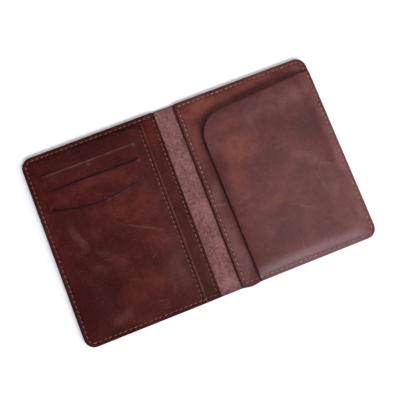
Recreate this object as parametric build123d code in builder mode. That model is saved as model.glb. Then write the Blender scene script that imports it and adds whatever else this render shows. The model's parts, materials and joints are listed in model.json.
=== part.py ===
from build123d import *
import os
from math import atan2, degrees

# Bifold leather passport holder, lying open and flat with its inside up.
# The right half (+X) carries the passport pocket, the left half (-X) the card panel.
# Origin: middle of the outside face, which rests on the table. +Y is the top edge, +Z is up.
# All sizes are in millimetres.

os.makedirs("parts", exist_ok=True)

# Driving dimensions
open_width = 214.0
height = 138.0
corner_radius = 7.5

cover_thickness = 1.5
panel_thickness = 1.0
lining_thickness = 0.3
pocket_thickness = 1.1

# The cover folds along two lines, one each side of the spine, level with its inner face.
fold_line_x = 5.3
fold_gap = 0.3

# Spine edges of the two inner panels, which run slightly askew
left_edge_top_x, left_edge_bottom_x = -7.8, -9.8
right_edge_top_x, right_edge_bottom_x = 6.9, 5.6
panel_corner_radius = 1.5

# Card panel
card_top_y = 64.0
card_edge_top_x, card_edge_bottom_x = -18.5, -20.0
card_corner_radius = 3.5
card_side_flange = 5.2
card_bottom_flange = 8.2
card_slope = 3.0
slit_width = 0.6
open_slit_width = 1.0
straight_slits = {52.6: (-95.5, -29.0, slit_width), 41.5: (-95.0, -31.0, open_slit_width)}
curved_slit = ((-97.5, 28.5), (-64.0, 22.3), (-30.0, 28.2))

# Card linings, from the base up: name, lower edge, upper edge
linings = [
    ("card_lining_upper", -13.0, 57.0),
    ("card_lining_middle", -26.0, 46.0),
    ("card_lining_lower", -54.0, 32.0),
]
lining_left_x, lining_right_x = -98.6, -27.0

# Passport pocket
passport_gap = 4.3
pocket_edge_top_x, pocket_edge_bottom_x = 18.2, 19.0
pocket_top_left_y, pocket_top_right_y = 51.6, 57.3
pocket_corner_radius = 18.0
pocket_flange = 4.6
pocket_slope = 8.5

# Seams
seam_inset = 2.7
stitch_pitch = 3.6
stitch_length = 2.7
thread_width = 0.7
thread_rise = 0.35
thread_recess = 0.05
groove_width = 0.9
groove_depth = 0.4
spine_seam_inset = 2.3
card_seam_inset = 2.9

# Levels, from the table up
cover_top = cover_thickness
panel_top = cover_top + panel_thickness
linings_top = panel_top + len(linings) * lining_thickness
card_flange_top = panel_top + panel_thickness
pocket_flange_top = panel_top + pocket_thickness

half_width = open_width / 2
half_height = height / 2
space_depth = 1.0  # how far the space under a raised sheet runs down past its feet


def outline(inset=0.0):
    """The holder's outline, or a line that runs inside it."""
    with BuildSketch() as shape:
        RectangleRounded(open_width - 2 * inset, height - 2 * inset, corner_radius - inset)
    return shape.sketch


def between(x_low, x_high):
    """The strip of the outline from one X to another."""
    with BuildSketch() as shape:
        add(outline())
        with Locations(((x_low + x_high) / 2, 0)):
            Rectangle(x_high - x_low, height, mode=Mode.INTERSECT)
    return shape.sketch


def bounded(*corners, round_corner=None, radius=0.0):
    """The part of the outline inside a polygon, with one corner of it rounded."""
    with BuildSketch() as shape:
        with BuildLine():
            Polyline(*corners, close=True)
        make_face()
        if round_corner is not None:
            fillet(shape.vertices().sort_by_distance(round_corner)[0], radius)
        add(outline(), mode=Mode.INTERSECT)
    return shape.sketch


def crown_profile(start, end, flange_start, flange_end, slope, rise):
    """The side view of a raised sheet's top: low flanges, slopes and a flat crown.

    A flange of zero width leaves that end open at the crown's full height.
    """
    start_side = [(start, 0.0), (start + flange_start, 0.0), (start + flange_start + slope, rise)]
    end_side = [(end - flange_end - slope, rise), (end - flange_end, 0.0), (end, 0.0)]
    if flange_start == 0:
        start_side = [(start, rise)]
    if flange_end == 0:
        end_side = [(end, rise)]
    with BuildSketch() as shape:
        with BuildLine():
            Polyline((start, -space_depth), *start_side, *end_side, (end, -space_depth), close=True)
        make_face()
    return shape.sketch


def crowned_space(level, profile_x, profile_y):
    """The space under a raised sheet whose feet are at that level."""
    with BuildPart() as space:
        with BuildSketch(Plane((0, 0, level), x_dir=(1, 0, 0), z_dir=(0, -1, 0))):
            add(profile_x)
        extrude(amount=height, both=True)
        with BuildSketch(Plane((0, 0, level), x_dir=(0, 1, 0), z_dir=(1, 0, 0))):
            add(profile_y)
        extrude(amount=open_width, both=True, mode=Mode.INTERSECT)
    return space.part


def stitch_places(path):
    """Where each stitch of a row lies, and which way it points."""
    count = round(path.length / stitch_pitch)
    places = []
    for i in range(count):
        along = (i + 0.5) / count
        way = path % along
        places.append(Location(path @ along, (0, 0, degrees(atan2(way.Y, way.X)))))
    return places


# Outer cover: one piece of leather, in three stiff parts with a fold line between them.
# The seam lies in a shallow groove in the outside face of each half.
cover_spans = {
    "outer_cover_right": (fold_line_x + fold_gap / 2, half_width),
    "outer_cover_spine": (-fold_line_x + fold_gap / 2, fold_line_x - fold_gap / 2),
    "outer_cover_left": (-half_width, -fold_line_x - fold_gap / 2),
}
for name, (x_low, x_high) in cover_spans.items():
    with BuildPart() as cover_part:
        with BuildSketch():
            add(between(x_low, x_high))
        extrude(amount=cover_thickness)
        if name != "outer_cover_spine":
            with BuildSketch():
                add(outline(seam_inset - groove_width / 2))
                add(outline(seam_inset + groove_width / 2), mode=Mode.SUBTRACT)
                add(between(x_low, x_high), mode=Mode.INTERSECT)
            extrude(amount=groove_depth, mode=Mode.SUBTRACT)
    cover_part.part.label = name
    export_step(cover_part.part, f"parts/{name}.step")

# Inner panels: each covers its half and stops short of the spine.
with BuildPart() as left_inner_panel:
    with BuildSketch(Plane.XY.offset(cover_top)):
        add(
            bounded(
                (-half_width, -half_height),
                (left_edge_bottom_x, -half_height),
                (left_edge_top_x, half_height),
                (-half_width, half_height),
                round_corner=(left_edge_top_x, half_height, 0),
                radius=panel_corner_radius,
            )
        )
    extrude(amount=panel_thickness)
left_inner_panel.part.label = "left_inner_panel"
export_step(left_inner_panel.part, "parts/left_inner_panel.step")

with BuildPart() as right_inner_panel:
    with BuildSketch(Plane.XY.offset(cover_top)):
        add(
            bounded(
                (right_edge_bottom_x, -half_height),
                (half_width, -half_height),
                (half_width, half_height),
                (right_edge_top_x, half_height),
                round_corner=(right_edge_top_x, half_height, 0),
                radius=panel_corner_radius,
            )
        )
    extrude(amount=panel_thickness)
right_inner_panel.part.label = "right_inner_panel"
export_step(right_inner_panel.part, "parts/right_inner_panel.step")

# Card linings: three thin leaves stacked behind the slits.
for i, (name, y_low, y_high) in enumerate(linings):
    with BuildPart() as lining:
        with BuildSketch(Plane.XY.offset(panel_top + i * lining_thickness)):
            with BuildLine():
                Polyline(
                    (lining_left_x, y_low),
                    (lining_right_x, y_low),
                    (lining_right_x, y_high),
                    (lining_left_x, y_high),
                    close=True,
                )
            make_face()
        extrude(amount=lining_thickness)
    lining.part.label = name
    export_step(lining.part, f"parts/{name}.step")

# Card panel: sewn down at its left, bottom and right, raised over the linings, with three slits.
card_rise = linings_top - panel_top
card_profiles = [
    crown_profile(
        -half_width, card_edge_top_x, card_side_flange, card_side_flange, card_slope, card_rise
    ),
    crown_profile(-half_height, card_top_y, card_bottom_flange, 0.0, card_slope, card_rise),
]
with BuildPart() as card_panel:
    with BuildSketch(Plane.XY.offset(panel_top)):
        add(
            bounded(
                (-half_width, -half_height),
                (card_edge_bottom_x, -half_height),
                (card_edge_top_x, card_top_y),
                (-half_width, card_top_y),
                round_corner=(card_edge_top_x, card_top_y, 0),
                radius=card_corner_radius,
            )
        )
    extrude(amount=card_rise + panel_thickness)
    add(crowned_space(card_flange_top, *card_profiles), mode=Mode.INTERSECT)
    add(crowned_space(panel_top, *card_profiles), mode=Mode.SUBTRACT)
    for y, (x_low, x_high, width) in straight_slits.items():
        with BuildSketch(Plane.XY.offset(panel_top)):
            with BuildLine():
                Line((x_low, y), (x_high, y))
            trace(line_width=width)
        extrude(amount=card_rise + panel_thickness, mode=Mode.SUBTRACT)
    with BuildSketch(Plane.XY.offset(panel_top)):
        with BuildLine():
            ThreePointArc(*curved_slit)
        trace(line_width=slit_width)
    extrude(amount=card_rise + panel_thickness, mode=Mode.SUBTRACT)
card_panel.part.label = "card_panel"
export_step(card_panel.part, "parts/card_panel.step")

# Passport pocket: sewn down at its right and bottom, open at its top and spine side.
pocket_profiles = [
    crown_profile(pocket_edge_top_x, half_width, 0.0, pocket_flange, pocket_slope, passport_gap),
    crown_profile(-half_height, half_height, pocket_flange, 0.0, pocket_slope, passport_gap),
]
with BuildPart() as passport_pocket:
    with BuildSketch(Plane.XY.offset(panel_top)):
        add(
            bounded(
                (pocket_edge_bottom_x, -half_height),
                (half_width, -half_height),
                (half_width, pocket_top_right_y),
                (pocket_edge_top_x, pocket_top_left_y),
                round_corner=(pocket_edge_top_x, pocket_top_left_y, 0),
                radius=pocket_corner_radius,
            )
        )
    extrude(amount=passport_gap + pocket_thickness)
    add(crowned_space(pocket_flange_top, *pocket_profiles), mode=Mode.INTERSECT)
    add(crowned_space(panel_top, *pocket_profiles), mode=Mode.SUBTRACT)
passport_pocket.part.label = "passport_pocket"
export_step(passport_pocket.part, "parts/passport_pocket.step")

# Seams: each stitch is its own length of thread. Stitches that reach over a panel's edge lie on it.
seam_x = half_width - seam_inset
seam_y = half_height - seam_inset
seam_radius = corner_radius - seam_inset


def half_seam(side, spine_end_top_x, spine_end_bottom_x):
    """The seam's path round one half, from the spine at the top to the spine at the bottom."""
    with BuildLine() as path:
        FilletPolyline(
            (spine_end_top_x, seam_y),
            (side * seam_x, seam_y),
            (side * seam_x, -seam_y),
            (spine_end_bottom_x, -seam_y),
            radius=seam_radius,
        )
    return path.wire()


def over_card_panel(x, y):
    """Whether a stitch in the left seam reaches the card panel."""
    reach = stitch_length / 2
    return x < card_edge_bottom_x + reach and y < card_top_y + reach


def over_pocket(x, y):
    """Whether a stitch in the right seam reaches the passport pocket."""
    reach = stitch_length / 2
    return x > pocket_edge_bottom_x - reach and y < pocket_top_right_y + reach


seams = {
    "perimeter_stitching_left": (
        half_seam(-1, left_edge_top_x - spine_seam_inset, left_edge_bottom_x - spine_seam_inset),
        over_card_panel,
        card_flange_top,
    ),
    "perimeter_stitching_right": (
        half_seam(1, right_edge_top_x + spine_seam_inset, right_edge_bottom_x + spine_seam_inset),
        over_pocket,
        pocket_flange_top,
    ),
}
for name, (path, is_raised, raised_level) in seams.items():
    places = stitch_places(path)
    raised = [place for place in places if is_raised(place.position.X, place.position.Y)]
    low = [place for place in places if not is_raised(place.position.X, place.position.Y)]
    with BuildPart() as seam:
        for level, row in ((raised_level, raised), (panel_top, low)):
            with BuildSketch(Plane.XY.offset(level)):
                with Locations(*row):
                    SlotOverall(stitch_length, thread_width)
            extrude(amount=thread_rise)
        with BuildSketch(Plane.XY.offset(thread_recess)):
            with Locations(*places):
                SlotOverall(stitch_length, thread_width)
        extrude(amount=groove_depth - thread_recess)
    seam.part.label = name
    export_step(seam.part, f"parts/{name}.step")

# Straight seams along the panels' free edges, which stop one pitch short of the perimeter seam
row_end_y = seam_y - stitch_pitch / 2
card_row_top_y = card_top_y - card_corner_radius
straight_seams = {
    "spine_edge_stitching_left": (
        (left_edge_top_x - spine_seam_inset, row_end_y),
        (left_edge_bottom_x - spine_seam_inset, -row_end_y),
        panel_top,
    ),
    "spine_edge_stitching_right": (
        (right_edge_top_x + spine_seam_inset, row_end_y),
        (right_edge_bottom_x + spine_seam_inset, -row_end_y),
        panel_top,
    ),
    "card_panel_stitching": (
        (card_edge_top_x - card_seam_inset, card_row_top_y),
        (card_edge_bottom_x - card_seam_inset, -row_end_y),
        card_flange_top,
    ),
}
for name, (top_end, bottom_end, level) in straight_seams.items():
    with BuildLine() as row_line:
        Line(top_end, bottom_end)
    with BuildPart() as seam:
        with BuildSketch(Plane.XY.offset(level)):
            with Locations(*stitch_places(row_line.wire())):
                SlotOverall(stitch_length, thread_width)
        extrude(amount=thread_rise)
    seam.part.label = name
    export_step(seam.part, f"parts/{name}.step")
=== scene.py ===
"""Looks of the bifold leather passport holder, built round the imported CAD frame.

Lengths are in millimetres while a piece is worked out, and in metres once it is a mesh.
"""

import json
import math

import bpy
import numpy as np
from mathutils import Matrix, Vector
from mathutils.geometry import delaunay_2d_cdt
from mathutils.kdtree import KDTree


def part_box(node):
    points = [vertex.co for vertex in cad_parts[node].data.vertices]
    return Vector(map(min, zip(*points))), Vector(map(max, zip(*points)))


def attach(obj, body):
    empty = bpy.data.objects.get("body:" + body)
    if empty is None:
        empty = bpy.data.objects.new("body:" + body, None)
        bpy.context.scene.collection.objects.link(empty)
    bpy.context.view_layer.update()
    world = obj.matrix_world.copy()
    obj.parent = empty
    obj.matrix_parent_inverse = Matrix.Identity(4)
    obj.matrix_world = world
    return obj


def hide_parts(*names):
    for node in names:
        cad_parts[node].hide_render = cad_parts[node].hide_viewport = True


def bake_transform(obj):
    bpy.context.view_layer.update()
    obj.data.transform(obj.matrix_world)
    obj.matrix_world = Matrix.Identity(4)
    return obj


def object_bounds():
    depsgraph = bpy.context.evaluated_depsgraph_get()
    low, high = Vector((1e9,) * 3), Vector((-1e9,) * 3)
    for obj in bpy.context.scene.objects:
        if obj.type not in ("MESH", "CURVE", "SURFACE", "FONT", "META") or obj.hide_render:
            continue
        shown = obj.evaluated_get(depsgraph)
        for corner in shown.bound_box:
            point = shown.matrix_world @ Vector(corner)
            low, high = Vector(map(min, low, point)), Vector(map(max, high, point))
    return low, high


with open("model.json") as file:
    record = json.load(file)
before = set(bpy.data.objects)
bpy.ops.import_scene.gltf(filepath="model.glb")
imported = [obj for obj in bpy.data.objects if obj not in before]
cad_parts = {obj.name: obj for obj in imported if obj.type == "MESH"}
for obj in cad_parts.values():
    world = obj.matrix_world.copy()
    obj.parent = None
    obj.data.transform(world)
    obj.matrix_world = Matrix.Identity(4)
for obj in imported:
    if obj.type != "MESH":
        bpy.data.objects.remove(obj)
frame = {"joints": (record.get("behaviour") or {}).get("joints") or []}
cad_low, cad_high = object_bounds()

MM = 0.001


# ---------------- sizes, from the frame
def node_box(name):
    """A CAD node's lowest and highest corners, in millimetres."""
    low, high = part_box(name)
    return np.array(low) / MM, np.array(high) / MM


HALF_WIDTH = cad_high[0] / MM
HALF_HEIGHT = cad_high[1] / MM
COVER_TOP = node_box("outer_cover_right")[1][2]
PANEL_TOP = node_box("right_inner_panel")[1][2]
PANEL_THICK = PANEL_TOP - COVER_TOP
LININGS_TOP = node_box("card_lining_lower")[1][2]
CARD_TOP = node_box("card_panel")[1][2]
CARD_THICK = CARD_TOP - LININGS_TOP
POCKET_TOP = node_box("passport_pocket")[1][2]
POCKET_THICK = 1.1
FOLD_X = frame["joints"][0]["pos_m"][0] / MM
LININGS = ("card_lining_lower", "card_lining_middle", "card_lining_upper")

CORNER_R = 7.5
LEFT_EDGE = (-7.8, -9.8)  # X of the left inner panel's spine edge, at the top and the bottom
RIGHT_EDGE = (6.9, 5.6)
CARD_EDGE = (-18.5, -20.0)
CARD_TOP_Y = 64.0
POCKET_EDGE = (18.2, 19.0)
POCKET_TOP_Y = (51.6, 57.3)  # the pocket's slanted mouth, at its spine end and its outer end
POCKET_CORNER_R = 18.0

SEAM_INSET = 2.7
STITCH_PITCH = 3.6
STITCH_LENGTH = 2.5
THREAD_R = 0.33

OUTLINE_STEP = 0.8
SPACING, FINE_SPACING, CLOTH_SPACING = 1.25, 1.1, 2.5  # between points inside a sheet
ROW_SHARE = 0.87  # of the spacing, from one row of staggered points to the next
RIM_STEPS = (0.12, 0.3, 0.65)  # loops just inside an edge, where the leather rounds over
RIM_R = 0.6


# ---------------- lines in plan
def resample(points, step, closed=True):
    """The same line with points at most a step apart."""
    points = np.asarray(points, float)
    ends = np.roll(points, -1, axis=0) if closed else points[1:]
    out = []
    for a, b in zip(points if closed else points[:-1], ends):
        count = max(1, math.ceil(np.linalg.norm(b - a) / step - 1e-6))
        out += [a + (b - a) * i / count for i in range(count)]
    if not closed:
        out.append(points[-1])
    return np.array(out)


def rounded(corners, radii, step=0.7):
    """A polygon's outline, anticlockwise, with each corner rounded to its own radius."""
    corners = [np.array(c, float) for c in corners]
    out = []
    for i, corner in enumerate(corners):
        before = corners[i - 1] - corner
        after = corners[(i + 1) % len(corners)] - corner
        before, after = before / np.linalg.norm(before), after / np.linalg.norm(after)
        half = math.acos(np.clip(before @ after, -1, 1)) / 2
        reach = radii[i] / math.tan(half)
        if radii[i] <= 0:
            out.append(corner)
            continue
        middle = before + after
        centre = corner + middle / np.linalg.norm(middle) * radii[i] / math.sin(half)
        start, end = corner + before * reach - centre, corner + after * reach - centre
        turn = math.pi - 2 * half
        count = max(3, math.ceil(radii[i] * turn / step))
        first = math.atan2(start[1], start[0])
        way = np.sign(start[0] * end[1] - start[1] * end[0])
        for k in range(count + 1):
            angle = first + way * turn * k / count
            out.append(centre + radii[i] * np.array([math.cos(angle), math.sin(angle)]))
    return np.array(out)


def unit_way(line):
    """The direction of an open line at each of its points."""
    way = np.gradient(line, axis=0)
    return way / np.linalg.norm(way, axis=1)[:, None]


def left_of(way):
    """The directions a quarter turn to the left."""
    return np.stack([-way[:, 1], way[:, 0]], axis=1)


def inset(loop, distance):
    """A closed loop moved to its left, which is inwards when it runs anticlockwise."""
    way = np.roll(loop, -1, axis=0) - np.roll(loop, 1, axis=0)
    way /= np.linalg.norm(way, axis=1)[:, None]
    return loop + distance * left_of(way)


def distance_to(points, line, closed=False, step=0.1):
    """How far each point is from a line, to within about a hundredth of a millimetre."""
    spots = resample(line, step, closed)
    tree = KDTree(len(spots))
    for i, (x, y) in enumerate(spots):
        tree.insert((x, y, 0), i)
    tree.balance()
    return np.array([tree.find((x, y, 0))[2] for x, y in points])


def inside(points, loop):
    """Whether each point is inside a closed loop."""
    a, b = loop, np.roll(loop, -1, axis=0)
    odd = np.zeros(len(points), bool)
    for (ax, ay), (bx, by) in zip(a, b):
        crosses = (ay > points[:, 1]) != (by > points[:, 1])
        if by != ay:
            odd ^= crosses & (points[:, 0] < (bx - ax) * (points[:, 1] - ay) / (by - ay) + ax)
    return odd


def edge_x(ends, y):
    """X of a slanted edge at a height in plan; ends are its X at the top and the bottom."""
    return ends[1] + (ends[0] - ends[1]) * (np.asarray(y) + HALF_HEIGHT) / (2 * HALF_HEIGHT)


def smooth(t):
    """A soft step from 0 to 1."""
    t = np.clip(t, 0, 1)
    return t * t * (3 - 2 * t)


# ---------------- how the leather lies
WAVES = (
    # length, direction in degrees, phase, height
    (93.0, 20.0, 0.4, 0.05),
    (71.0, 115.0, 2.1, 0.045),
    (52.0, 65.0, 4.0, 0.035),
    (38.0, 160.0, 1.2, 0.025),
    (24.0, 40.0, 5.1, 0.012),
    (17.0, 100.0, 3.3, 0.008),
)
WAVE_ROOM = 0.16  # lifts the waves, so that most of them stay above zero
CALM_EDGE = 14  # over how far the waves grow from the outline
CALM_SPINE, CALM_REACH = 6, 12  # where they start beside the spine, and over how far they grow


def sway(x, y):
    """The gentle undulation that all layers share, never below zero and flat at the rim and spine."""
    out = np.full(np.shape(x), WAVE_ROOM)
    for length, degrees, phase, high in WAVES:
        a = math.radians(degrees)
        out = out + high * np.sin(2 * math.pi * (x * math.cos(a) + y * math.sin(a)) / length + phase)
    calm = smooth((HALF_WIDTH - np.abs(x)) / CALM_EDGE) * smooth((HALF_HEIGHT - np.abs(y)) / CALM_EDGE)
    return np.maximum(out, 0) * calm * smooth((np.abs(x) - CALM_SPINE) / CALM_REACH)


POCKET_FOOT = 0.4  # where the pocket starts to rise, in from the outline
POCKET_SLOPE = 13.0  # how far in the leather goes on rising
POCKET_EASE = 1.4  # how softly it starts
POCKET_DROOP, DROOP_REACH = 0.32, 8.0  # the share by which its free edge sinks, and how far in
DROOP_Y, DROOP_FADE = 46, 26  # it sinks below this Y, fully so this much further down
CARD_FOOT, CARD_SLOPE = 3.2, 11.0  # where the card panel starts to rise, and over how far
CLOTH_THICK = 0.18  # of a lining leaf, pressed between the leathers


def crown(inward):
    """A share from 0 at the foot to 1, steep at first and level at the top, like a filled pocket."""
    inward = np.sqrt(np.maximum(inward, 0) ** 2 + POCKET_EASE**2) - POCKET_EASE
    return 1 - (1 - np.clip(inward / POCKET_SLOPE, 0, 1)) ** 2


def pocket_rise(x, y):
    """How high the passport pocket's leather stands over the panel under it."""
    from_right = crown(HALF_WIDTH - POCKET_FOOT - x)
    from_bottom = crown(y + HALF_HEIGHT - POCKET_FOOT)
    from_edge = np.maximum(x - edge_x(POCKET_EDGE, y), 0)
    free = np.exp(-(from_edge / DROOP_REACH)) * smooth((DROOP_Y - y) / DROOP_FADE)
    return (POCKET_TOP - POCKET_THICK - PANEL_TOP) * from_right * from_bottom * (1 - POCKET_DROOP * free)


STRAIGHT_SLITS = (
    # Y, left X, right X, width, how far the lower lip stands up
    (52.6, -95.5, -29.0, 0.32, 0.26),
    (41.5, -95.0, -31.0, 1.1, 0.36),
)
CURVED_SLIT = ((-97.5, 28.5), (-64.0, 22.3), (-30.0, 28.2))
CURVED_WIDTH = 0.5
CURVED_LIP = 0.3
LIP_REACH = 3.0
LIP_FULLNESS = 0.6  # below 1, a lip keeps its height closer to its ends
SLIT_TAPER = np.array([0.55, 0.8, 0.95])  # shares of the width at the points nearest to an end


def arc_through(points, count=60):
    """Points along the circle through three points."""
    (ax, ay), (bx, by), (cx, cy) = points
    d = 2 * (ax * (by - cy) + bx * (cy - ay) + cx * (ay - by))
    a2, b2, c2 = ax**2 + ay**2, bx**2 + by**2, cx**2 + cy**2
    centre = np.array([
        (a2 * (by - cy) + b2 * (cy - ay) + c2 * (ay - by)) / d,
        (a2 * (cx - bx) + b2 * (ax - cx) + c2 * (bx - ax)) / d,
    ])
    start, end = np.array(points[0]) - centre, np.array(points[2]) - centre
    first = math.atan2(start[1], start[0])
    turn = (math.atan2(end[1], end[0]) - first + math.pi) % (2 * math.pi) - math.pi
    angles = first + turn * np.linspace(0, 1, count)
    radius = np.linalg.norm(start)
    return centre + radius * np.stack([np.cos(angles), np.sin(angles)], axis=1)


SLIT_LINES = [
    (np.array([(left, y), (right, y)]), width, lip) for y, left, right, width, lip in STRAIGHT_SLITS
] + [(arc_through(CURVED_SLIT), CURVED_WIDTH, CURVED_LIP)]


def slit_loop(line, width, step=0.5):
    """The closed outline of a slit: its line with a width and round ends."""
    line = resample(line, step, closed=False)
    way = unit_way(line)
    side = left_of(way) * width / 2
    taper = np.ones(len(line))
    taper[: len(SLIT_TAPER)] = SLIT_TAPER
    taper[-len(SLIT_TAPER) :] = SLIT_TAPER[::-1]
    side *= taper[:, None]
    tips = line[0] - way[0] * width / 3, line[-1] + way[-1] * width / 3
    return np.vstack([line + side, tips[1][None], (line - side)[::-1], tips[0][None]])


def card_swell(x, y):
    """How fully the linings lift the card panel: from 0 at its seams to 1."""
    from_right = smooth((edge_x(CARD_EDGE, y) - CARD_FOOT - x) / CARD_SLOPE)
    from_left = smooth((x + HALF_WIDTH - CARD_FOOT) / CARD_SLOPE)
    return from_left * from_right * smooth((y + HALF_HEIGHT - CARD_FOOT) / CARD_SLOPE)


def card_rise(x, y):
    """How high the card panel stands over the panel under it, with its slits' lips."""
    out = len(LININGS) * CLOTH_THICK * card_swell(x, y)
    points = np.stack([x, y], axis=1)
    for line, _, lip in SLIT_LINES:
        across = distance_to(points, line)
        line_y = np.interp(x, line[:, 0], line[:, 1])
        share = (x - line[0, 0]) / (line[-1, 0] - line[0, 0])
        middle = np.sin(math.pi * np.clip(share, 0, 1)) ** LIP_FULLNESS
        out = out + np.where(y < line_y, lip * middle * np.exp(-across / LIP_REACH), 0)
    return out


RIGHT_LIFT, LEFT_LIFT = 1.1, 0.25
LIFT_REACH = 4.5  # how far from its free edge a panel is lifted
LIFT_FADE = 9  # over how far the lift grows from the top and the bottom


def spine_lift(x, y, ends, lift):
    """How far an inner panel's free spine edge stands off the cover."""
    away = np.abs(x - edge_x(ends, y))
    return lift * np.exp(-((away / LIFT_REACH) ** 2)) * smooth((HALF_HEIGHT - np.abs(y)) / LIFT_FADE)


# The height of each sheet's underside; the cover's is the sway itself.
def right_panel_base(x, y):
    return COVER_TOP + sway(x, y) + spine_lift(x, y, RIGHT_EDGE, RIGHT_LIFT)


def left_panel_base(x, y):
    return COVER_TOP + sway(x, y) + spine_lift(x, y, LEFT_EDGE, LEFT_LIFT)


def card_base(x, y):
    return PANEL_TOP + sway(x, y) + card_rise(x, y)


def pocket_base(x, y):
    return PANEL_TOP + sway(x, y) + pocket_rise(x, y)


# ---------------- outlines
def sheet_outline(corners, radii):
    """A sheet's outline with rounded corners and evenly close points."""
    return resample(rounded(corners, radii), OUTLINE_STEP)


def four_sided(left, right, radii, top=(HALF_HEIGHT, HALF_HEIGHT)):
    """A sheet's outline from its sides' X at the top and the bottom, and its top's Y at left and right."""
    feet = [(left[1], -HALF_HEIGHT), (right[1], -HALF_HEIGHT)]
    return sheet_outline(feet + [(right[0], top[1]), (left[0], top[0])], radii)


MIDDLE = (0.0, 0.0)
LEFT_SIDE, RIGHT_SIDE = (-HALF_WIDTH, -HALF_WIDTH), (HALF_WIDTH, HALF_WIDTH)
right_cover_line = four_sided(MIDDLE, RIGHT_SIDE, [0, CORNER_R, CORNER_R, 0])
left_cover_line = four_sided(LEFT_SIDE, MIDDLE, [CORNER_R, 0, 0, CORNER_R])
left_panel_line = four_sided(LEFT_SIDE, LEFT_EDGE, [CORNER_R, 1.0, 1.8, CORNER_R])
pocket_line = four_sided(POCKET_EDGE, RIGHT_SIDE, [0.8, CORNER_R, 0.8, POCKET_CORNER_R], POCKET_TOP_Y)
right_panel_line = four_sided(RIGHT_EDGE, RIGHT_SIDE, [1.0, CORNER_R, CORNER_R, 1.5])
BULGE_X, BULGE_REACH, BULGE = 12.5, 5.0, 1.0  # the right panel's foot, which stands out a little
FOOT_BAND = 2.0
at_foot = right_panel_line[:, 1] < -HALF_HEIGHT + FOOT_BAND
bulge = BULGE * np.exp(-(((right_panel_line[:, 0] - BULGE_X) / BULGE_REACH) ** 2))
right_panel_line[:, 1] -= np.where(at_foot, bulge, 0)


def arc_x(y):
    """X of the outline's left side where the corner is rounded."""
    down = max(0.0, abs(y) - (HALF_HEIGHT - CORNER_R))
    return -HALF_WIDTH + CORNER_R - math.sqrt(CORNER_R**2 - down**2)


card_line = sheet_outline(
    [
        (-HALF_WIDTH, -HALF_HEIGHT),
        (CARD_EDGE[1], -HALF_HEIGHT),
        (float(edge_x(CARD_EDGE, CARD_TOP_Y)), CARD_TOP_Y),
        (arc_x(CARD_TOP_Y), CARD_TOP_Y),
        (-HALF_WIDTH, HALF_HEIGHT - CORNER_R),
    ],
    [CORNER_R, 0.8, 3.5, 0.4, 0],
)


# ---------------- seams
def seam_path(points, radius):
    """An open line through the points with its inner corners rounded."""
    out = [np.array(points[0], float)]
    for i in range(1, len(points) - 1):
        piece = rounded([points[i - 1], points[i], points[i + 1]], [0, radius, 0])
        out += list(piece[1:-1])
    out.append(np.array(points[-1], float))
    return np.array(out)


SPINE_SEAM = 2.3
CARD_SEAM = 2.9
CARD_ROW_GAP = 3.5  # from the card panel's top to its row
SEAM_X, SEAM_Y, SEAM_R = HALF_WIDTH - SEAM_INSET, HALF_HEIGHT - SEAM_INSET, CORNER_R - SEAM_INSET
ROW_END = SEAM_Y - STITCH_PITCH / 2


def half_seam(edge, side):
    """The seam round one half: along its top, its outer side and its bottom; side is 1 on the right."""
    top_x, bottom_x = (x + side * SPINE_SEAM for x in edge)
    corners = [(top_x, SEAM_Y), (side * SEAM_X, SEAM_Y), (side * SEAM_X, -SEAM_Y), (bottom_x, -SEAM_Y)]
    return seam_path(corners, SEAM_R)


def edge_row(edge, off, top_y=ROW_END):
    """The ends of a straight row beside a slanted edge; off is how far to its right."""
    return np.array([(edge[0] + off, top_y), (edge[1] + off, -ROW_END)])


left_seam = half_seam(LEFT_EDGE, -1)
right_seam = half_seam(RIGHT_EDGE, 1)
left_row = edge_row(LEFT_EDGE, -SPINE_SEAM)
right_row = edge_row(RIGHT_EDGE, SPINE_SEAM)
card_row = edge_row(CARD_EDGE, -CARD_SEAM, CARD_TOP_Y - CARD_ROW_GAP)
AHEAD = 0.3  # how far before and after a place a path's direction is measured


def along(path, pitch):
    """Evenly spaced places on a path, each with its direction: the middles of its stitches."""
    steps = np.concatenate([[0], np.cumsum(np.linalg.norm(np.diff(path, axis=0), axis=1))])
    count = round(steps[-1] / pitch)
    at = (np.arange(count) + 0.5) / count * steps[-1]
    place, ahead, behind = (
        np.stack([np.interp(at + off, steps, path[:, k]) for k in range(2)], axis=1)
        for off in (0, AHEAD, -AHEAD)
    )
    way = ahead - behind
    return place, way / np.linalg.norm(way, axis=1)[:, None], steps[-1] / count


def holes_of(path):
    """The needle holes of a row: one at each end of every stitch."""
    place, way, pitch = along(path, STITCH_PITCH)
    return np.vstack([place[0] - way[0] * pitch / 2, place + way * pitch / 2])


# ---------------- sheets of leather
SEAM_STRIP = (-1.5, -0.95, -0.5, 0.0, 0.5, 0.95, 1.5)  # lines of points beside a seam
SEAM_POINT = 0.6  # between points along a seam
STRIP_CLEAR, RIM_CLEAR, CUT_CLEAR = 0.4, 0.3, 0.2  # room beside seams, edges and the spine's cut


def grid_points(loop, spacing, dense=()):
    """Staggered points over a loop's box; dense gives boxes with a finer spacing."""
    low, high = loop.min(0), loop.max(0)
    rows = []
    for i, y in enumerate(np.arange(low[1], high[1], spacing * ROW_SHARE)):
        x = np.arange(low[0] + (i % 2) * spacing / 2, high[0], spacing)
        rows.append(np.stack([x, np.full_like(x, y)], axis=1))
    points = np.vstack(rows)
    for x0, x1, fine in dense:
        points = points[(points[:, 0] < x0) | (points[:, 0] > x1)]
        x, y = np.meshgrid(np.arange(x0, x1 + fine / 2, fine), np.arange(low[1], high[1], spacing))
        points = np.vstack([points, np.stack([x.ravel(), y.ravel()], axis=1)])
    return points


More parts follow.
